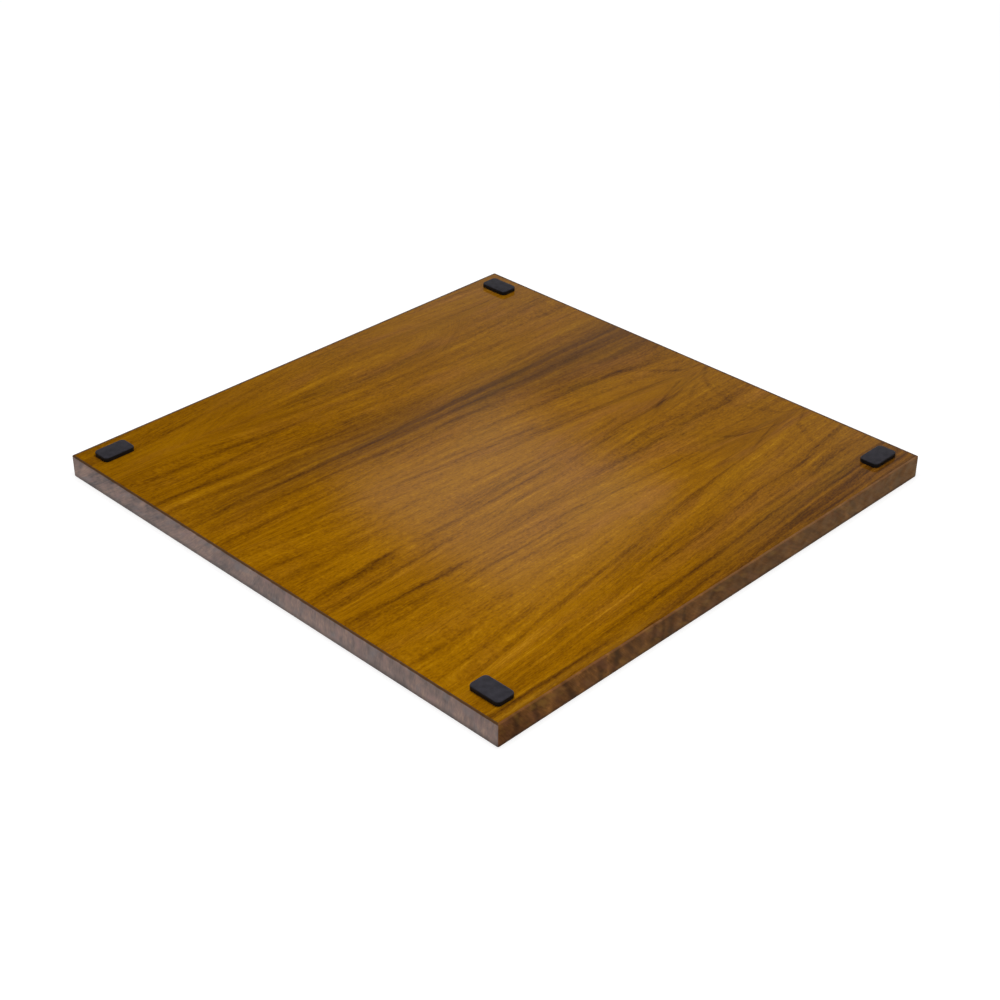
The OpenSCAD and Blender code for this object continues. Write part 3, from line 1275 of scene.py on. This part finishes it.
@dataclass
class PlayingSquares:
    """The sixty-four squares, laid by one rule: a tile on each place of one parity."""

    sizes: BoardSizes
    finishes: dict[Tone, Material]
    relief: float = 0.06 * MM
    seed: int = 7

    def rule(self) -> bpy.types.NodeTree:
        """Builds the tree that lays the tiles of one parity.

        Returns:
            The tree, whose named inputs are the tiles' sizes.
        """
        tree = bpy.data.node_groups.new("lay_squares", "GeometryNodeTree")
        graph = Graph(tree)
        kinds = {
            "Files": "Int", "Square": "Float", "Thickness": "Float", "Relief": "Float", "Height": "Float",
            "Parity": "Int", "Seed": "Int", "Finish": "Material",
        }
        for name, kind in kinds.items():
            tree.interface.new_socket(name, in_out="INPUT", socket_type=f"NodeSocket{kind}")
        tree.interface.new_socket("Squares", in_out="OUTPUT", socket_type="NodeSocketGeometry")
        outputs = graph.node("NodeGroupInput").outputs
        given = {name: Signal(graph, outputs[name]) for name in kinds}
        files, square = given["Files"], given["Square"]
        span = square * (files - 1.0)
        spans = {"Size X": span, "Size Y": span, "Vertices X": files, "Vertices Y": files}
        places = graph.node("GeometryNodeMeshGrid", spans)
        raised = self.raised(graph, places.outputs["Mesh"], given["Height"])
        index = Signal(graph, graph.node("GeometryNodeInputIndex").outputs[0])
        column = graph.math("FLOOR", (index + 0.5) / files)
        odd = graph.math("MODULO", index - column * (files - 1.0) + files * 2.0, 2.0)
        laid = graph.node("GeometryNodeInstanceOnPoints", {
            "Points": raised,
            "Selection": graph.math("COMPARE", odd, given["Parity"], 0.1),
            "Instance": self.tile(graph, square, given["Thickness"], given["Relief"]),
        })
        draws = {"ID": index, "Seed": given["Seed"]}
        chance = graph.node("FunctionNodeRandomValue", draws, data_type="FLOAT")
        marks = {"Geometry": laid.outputs[0], "Name": "tile"}
        mark = graph.node("GeometryNodeStoreNamedAttribute", marks, data_type="FLOAT", domain="INSTANCE")
        graph.feed(typed(mark.inputs, "Value", "VALUE"), typed(chance.outputs, "Value", "VALUE"))
        real = graph.node("GeometryNodeRealizeInstances", {"Geometry": mark.outputs[0]})
        finished = {"Geometry": real.outputs[0], "Material": given["Finish"]}
        dressed = graph.node("GeometryNodeSetMaterial", finished)
        graph.node("NodeGroupOutput", {0: dressed.outputs[0]})
        return tree

    @staticmethod
    def raised(graph: Graph, geometry: Socket, height: Signal) -> Socket:
        """Lifts a geometry."""
        moves = {"Geometry": geometry, "Translation": graph.point(0.0, 0.0, height)}
        return graph.node("GeometryNodeTransform", moves).outputs["Geometry"]

    def tile(self, graph: Graph, square: Signal, thickness: Signal, relief: Signal) -> Socket:
        """Adds the nodes of one tile: a thin block with a fine bevel round its upper face.

        Args:
            graph: The tree's writer.
            square: Side of the tile.
            thickness: Thickness of the tile.
            relief: Size of the bevel.

        Returns:
            The tile's geometry, with its foot at z = 0.
        """
        body = thickness - relief
        block = graph.node("GeometryNodeMeshCube", {"Size": graph.point(square, square, body)})
        normal = graph.split(graph.node("GeometryNodeInputNormal").outputs[0])[2]
        drawn = graph.node("GeometryNodeExtrudeMesh", {
            "Mesh": self.raised(graph, block.outputs["Mesh"], body * 0.5),
            "Selection": graph.math("GREATER_THAN", normal, 0.5),
            "Offset": graph.point(0.0, 0.0, 1.0),
            "Offset Scale": relief,
        }, mode="FACES")
        shrunk = graph.node("GeometryNodeScaleElements", {
            "Geometry": drawn.outputs["Mesh"],
            "Selection": drawn.outputs["Top"],
            "Scale": 1.0 - relief / square * 2.0,
        }, domain="FACE")
        return shrunk.outputs[0]

    def build(self) -> None:
        """Lays the light and the dark squares, each as one piece."""
        tree = self.rule()
        s = self.sizes
        for tone in Tone:
            piece = new_piece(f"{tone.label}_squares", [], [], self.finishes[tone])
            rule = piece.modifiers.new("lay_squares", "NODES")
            rule.node_group = tree
            values = {
                "Files": s.files, "Square": s.square, "Thickness": s.top_z - s.inlay_z,
                "Relief": self.relief, "Height": s.inlay_z, "Parity": tone.value,
                "Seed": self.seed + tone.value, "Finish": self.finishes[tone],
            }
            for item in tree.interface.items_tree:
                if item.in_out == "INPUT":
                    rule[item.identifier] = values[item.name]
            depsgraph = bpy.context.evaluated_depsgraph_get()
            ready = piece.evaluated_get(depsgraph)
            mesh = bpy.data.meshes.new_from_object(ready, preserve_all_data_layers=True, depsgraph=depsgraph)
            mesh.materials.clear()
            mesh.materials.append(self.finishes[tone])
            mesh.polygons.foreach_set("material_index", [0] * len(mesh.polygons))
            piece.modifiers.clear()
            piece.data = mesh
            wood = "maple" if tone is Tone.LIGHT else "walnut"
            nodes = [f"rank_{rank}_{tone.label}_squares" for rank in range(1, s.files + 1)]
            settle(piece, f"{tone.label}_{wood}", nodes)


@dataclass(frozen=True)
class Lamp:
    """A soft lamp: a glowing rectangle of a given brightness, where a white wall is 1."""

    name: str
    place: tuple[float, float, float]
    target: tuple[float, float, float]
    size: Span
    brightness: float
    lights: bool = True
    mirrors: bool = False

    def build(self) -> None:
        """Makes the lamp."""
        data = bpy.data.lights.new(self.name, "AREA")
        data.shape = "RECTANGLE"
        data.size, data.size_y = self.size
        data.energy = self.brightness * math.pi * self.size[0] * self.size[1]
        lamp = bpy.data.objects.new(self.name, data)
        lamp.location = self.place
        lamp.rotation_mode = "QUATERNION"
        lamp.rotation_quaternion = (Vector(self.target) - Vector(self.place)).to_track_quat("-Z", "Y")
        lamp.visible_camera = False
        lamp.visible_diffuse = self.lights
        lamp.visible_glossy = self.mirrors
        bpy.context.scene.collection.objects.link(lamp)


@dataclass(frozen=True)
class MirrorCard:
    """A soft white card below the board, given by where the photograph's camera sees it on the underside.

    Places are in millimetres on the board.
    """

    left: float
    right: float
    front: float
    back: float
    soft: float
    brightness: float

    def glow(self, graph: Graph, x: Signal, y: Signal) -> Signal:
        """Brightness of the card at a mirrored place."""
        across = graph.between(x, self.left, self.right, self.soft)
        return across * graph.between(y, self.front, self.back, self.soft) * self.brightness


@dataclass
class Studio:
    """The pale table, the white surroundings and the lamps."""

    sizes: BoardSizes
    eye: Vector
    window: MirrorCard = MirrorCard(
        left=-132.0, right=62.0, front=-66.0, back=152.0, soft=14.0, brightness=0.54)
    near_wall: MirrorCard = MirrorCard(
        left=40.0, right=900.0, front=165.0, back=900.0, soft=70.0, brightness=0.17)
    floor_half: float = 6.0
    floor_gap: float = 0.2 * MM
    floor_tone: float = 0.40
    floor_glow: float = 0.78
    sky_tone: float = 0.8
    dome: float = 0.72
    sheen_lean: float = 0.54
    sheen_start: float = 4.0
    sheen_slope: float = 0.00083
    sheen_most: float = 0.45
    least_fall: float = 0.02
    nadir_span: Span = (0.75, 1.0)
    nadir_glow: float = 0.4
    ceiling_span: Span = (0.3, 1.0)
    ceiling_glow: Span = (0.12, 0.20)
    horizon_span: Span = (0.20, 0.05)
    lamps: tuple[Lamp, ...] = (
        Lamp("under_key", (-0.10, 0.10, -0.70), (-0.10, 0.10, 0), (0.3, 0.3), 9.5),
        Lamp("side_card", (-0.95, -0.75, 0.62), (-0.25, 0, 0), (0.9, 0.5), 0.4, lights=False, mirrors=True),
        Lamp("side_fill", (-0.9, 0.95, -0.1), (0, 0, 0), (0.5, 0.5), 1.2),
        Lamp("over_key", (-0.95, -0.75, 1.25), (0, 0, 0), (0.8, 0.8), 8.0),
        Lamp("over_window", (-1.0, 1.0, 0.75), (0, 0, 0), (0.5, 0.5), 0.45, mirrors=True),
    )

    def floor(self, name: str, z: float, faces_up: bool) -> None:
        """Makes a one-sided floor, which the camera sees from its own side only.

        Args:
            name: The floor's name.
            z: Its height.
            faces_up: Whether it is seen from above.
        """
        material, graph = new_finish(name)
        glow = graph.node("ShaderNodeEmission", {"Strength": self.floor_glow})
        pale = graph.node("ShaderNodeBsdfDiffuse", {"Color": (self.floor_tone,) * 3})
        lit = graph.node("ShaderNodeAddShader", {0: glow.outputs[0], 1: pale.outputs[0]})
        hidden = graph.node("ShaderNodeBsdfTransparent")
        behind = graph.node("ShaderNodeNewGeometry").outputs["Backfacing"]
        sides = {0: behind, 1: lit.outputs[0], 2: hidden.outputs[0]}
        sided = graph.node("ShaderNodeMixShader", sides)
        graph.node("ShaderNodeOutputMaterial", {"Surface": sided.outputs[0]})
        h = self.floor_half
        points = [(-h, -h, z), (h, -h, z), (h, h, z), (-h, h, z)]
        face = (0, 1, 2, 3) if faces_up else (3, 2, 1, 0)
        piece = new_piece(name, points, [face], material)
        piece.visible_diffuse = piece.visible_glossy = False
        piece.visible_transmission = piece.visible_shadow = False

    def sheen(self, graph: Graph, east: Signal, north: Signal) -> Signal:
        """What the underside mirrors: a window and a wall that grows brighter towards the right.

        Args:
            graph: The world's tree.
            east: How far a mirrored ray runs along X for each metre that it falls.
            north: How far it runs along Y.

        Returns:
            The brightness.
        """
        depth = (self.sizes.underside_z - self.eye.z) / MM
        x = east * depth + self.eye.x / MM
        y = north * depth + self.eye.y / MM
        slope = (x - y * self.sheen_lean - self.sheen_start) * self.sheen_slope
        wall = graph.math("MINIMUM", graph.math("MAXIMUM", slope, 0.0), self.sheen_most)
        return wall + self.window.glow(graph, x, y) + self.near_wall.glow(graph, x, y)

    def surroundings(self) -> None:
        """Makes the world: white where it is seen, soft light where it is not."""
        world = bpy.data.worlds.new("studio")
        bpy.context.scene.world = world
        world.use_nodes = True
        world.node_tree.nodes.clear()
        world.cycles.sampling_method = "NONE"
        graph = Graph(world.node_tree)
        path = graph.node("ShaderNodeLightPath").outputs
        glossy, seen = (Signal(graph, path[name]) for name in ("Is Glossy Ray", "Is Camera Ray"))
        east, north, height = graph.split(graph.node("ShaderNodeTexCoord").outputs["Generated"])
        steep = graph.math("MAXIMUM", abs(height), self.least_fall)
        nadir = graph.remap(steep, self.nadir_span, (0.0, self.nadir_glow))
        below = self.sheen(graph, east / steep, north / steep) + nadir
        above = graph.remap(steep, self.ceiling_span, self.ceiling_glow)
        mirrored = blend(below, above, graph.math("GREATER_THAN", height, 0.0))
        mirrored = blend(mirrored, 1.0, graph.remap(steep, self.horizon_span))
        strength = blend(self.dome, mirrored, glossy) * self.sky_tone
        strength = blend(strength, 1.0, seen)
        sky = graph.node("ShaderNodeBackground", {"Color": (1.0, 1.0, 1.0), "Strength": strength})
        graph.node("ShaderNodeOutputWorld", {"Surface": sky.outputs[0]})

    def build(self) -> None:
        """Makes the stage round the board."""
        self.floor("table_under_feet", 0.0, faces_up=True)
        self.floor("table_under_playing_side", self.sizes.top_z + self.floor_gap, faces_up=False)
        self.surroundings()
        for lamp in self.lamps:
            lamp.build()
        view = bpy.context.scene.view_settings
        view.view_transform = "Standard"


@dataclass
class PhotoCamera:
    """The photograph's camera, found from the board's corners and sides in the picture.

    Angles are in degrees, the focal length in pixels of a frame 1000 pixels wide.
    """

    azimuth: float = 225.5132
    elevation: float = -32.3002
    roll: float = 0.3074
    distance: float = 1.49794
    target_x: float = -46.645 * MM
    target_y: float = 50.795 * MM
    focal_pixels: float = 1864.775
    frame_pixels: float = 1000.0
    sensor: float = 36.0
    clip_end: float = 100.0

    def build(self, target_z: float) -> Vector:
        """Makes the camera, upside down because the photographed board lies on its playing side.

        Args:
            target_z: Height of the point that the camera is aimed at.

        Returns:
            The camera's place.
        """
        a, e, r = (math.radians(v) for v in (self.azimuth, self.elevation, self.roll))
        back = Vector((math.sin(a) * math.cos(e), -math.cos(a) * math.cos(e), math.sin(e)))
        level = Vector((0, 0, -1)).cross(back).normalized()
        upright = back.cross(level)
        right = level * math.cos(r) + upright * math.sin(r)
        up = upright * math.cos(r) - level * math.sin(r)
        data = bpy.data.cameras.new("photo_camera")
        data.sensor_width = self.sensor
        data.lens = self.focal_pixels / self.frame_pixels * self.sensor
        data.clip_end = self.clip_end
        camera = bpy.data.objects.new("photo_camera", data)
        turn = Matrix((right, up, back)).transposed().to_4x4()
        place = Vector((self.target_x, self.target_y, target_z)) + back * self.distance
        camera.matrix_world = Matrix.Translation(place) @ turn
        bpy.context.scene.collection.objects.link(camera)
        bpy.context.scene.camera = camera
        return place


@dataclass(frozen=True)
class StrewnStreaks:
    """Streaks strewn along a band that the photograph doesn't show."""

    seed: int
    count: int
    reach: float = 246.0
    slip: float = 14.0
    widths: Span = (3.5, 11.0)
    depths: Span = (0.14, 0.36)
    signs: tuple[float, ...] = (-1.0, -1.0, 1.0)

    def draw(self) -> tuple[BandStreak, ...]:
        """Draws the streaks."""
        chance = random.Random(self.seed)
        streaks = []
        for _ in range(self.count):
            under = chance.uniform(-self.reach, self.reach)
            over = under + chance.uniform(-self.slip, self.slip)
            width = chance.uniform(*self.widths)
            depth = chance.choice(self.signs) * chance.uniform(*self.depths)
            streaks.append(BandStreak(under, over, width, depth))
        return tuple(streaks)


def band_finishes(sizes: BoardSizes) -> dict[Side, Material]:
    """Makes the four edge bands' finishes.

    Args:
        sizes: The board's sizes.

    Returns:
        The finish of each side.
    """
    bands = (
        # The left band's greyish tones, blush and gild hold a painted reflection.
        BandVeneer(
            Side.LEFT, seed=2.0, streaks=LEFT_STREAKS, tones=TAUPE_SHEEN_TONES, contrast=1.45, leans=(1.5, 0.1),
            blush=(0.27, 0.165, 0.150), gild=(0.165, 0.152, 0.155),
            painted_sheen=(0.25, 0.16, 0.13), painted_sheen_ends=(0.0, 0.2), rim=(0.075, 0.030, 0.002), rim_share=0.9,
            edge_shade=(0.050, 0.042, 0.038), edge_reach=6.0, edge_share=0.6,
            lacquer=Lacquer(roughness=0.3, relief=0.02, mirror=0.35),
        ),
        # The back band's light rim is a painted highlight, and its greyer right end a painted sheen.
        BandVeneer(
            Side.BACK, seed=9.0, streaks=BACK_STREAKS, painted_sheen_ends=(0.0, 0.5), rim=(0.19, 0.078, 0.025),
            lacquer=Lacquer(roughness=0.3, relief=0.02, mirror=0.08),
        ),
        BandVeneer(Side.FRONT, seed=23.0, streaks=StrewnStreaks(seed=5, count=22).draw()),
        BandVeneer(Side.RIGHT, seed=31.0, streaks=StrewnStreaks(seed=8, count=20).draw()),
    )
    return {band.side: band.make(sizes) for band in bands}


def dress_frame(frame: dict) -> None:
    """Gives every node that stays its finish.

    Args:
        frame: The loaded frame.
    """
    dress_node(frame, "underside_veneer", UndersideVeneer().make())
    core = Grainy("core_fibreboard", dark=(0.20, 0.13, 0.075), light=(0.33, 0.23, 0.14), grain=0.6,
                  lacquer=Lacquer(roughness=0.8, relief=0.05))
    dress_node(frame, "core_panel", core.make())
    tape = Grainy("foot_adhesive", dark=(0.010, 0.010, 0.012), light=(0.022, 0.022, 0.026), grain=0.4,
                  lacquer=Lacquer(roughness=0.7, relief=0.05))
    tape_finish = tape.make()
    for corner in Corner:
        dress_node(frame, f"{corner.label}_foot_tape", tape_finish)
    for number, side in enumerate(Side):
        name, cut = side.label, number * STRIP_CUT
        border = StripVeneer(f"{name}_border_walnut", BORDER_TONES, FINE_FIBRES, along=side.along,
                             seed=FIRST_BORDER_CUT + cut, slant=0.012)
        dress_node(frame, f"{name}_border", border.make())
        line = StripVeneer(f"{name}_line_maple", MAPLE_TONES, MAPLE_FIBRES, along=side.along,
                           seed=FIRST_LINE_CUT + cut)
        dress_node(frame, f"{name}_line", line.make())


def main() -> None:
    """Builds the studio and the board's looks in order."""
    logging.basicConfig(level=logging.INFO, format="%(name)s: %(message)s")
    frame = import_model()
    sizes = BoardSizes.from_frame()
    eye = PhotoCamera().build(sizes.underside_z)
    Studio(sizes, eye).build()
    dress_frame(frame)
    EdgeBands(sizes).build(band_finishes(sizes))
    squares = {
        Tone.LIGHT: SquareVeneer("light_square_maple", MAPLE_TONES, MAPLE_FIBRES).make(),
        Tone.DARK: SquareVeneer("dark_square_walnut", WALNUT_TONES, FINE_FIBRES).make(),
    }
    PlayingSquares(sizes, squares).build()
    RubberFeet().build(Rubber().make())


if __name__ == "__main__":
    main()
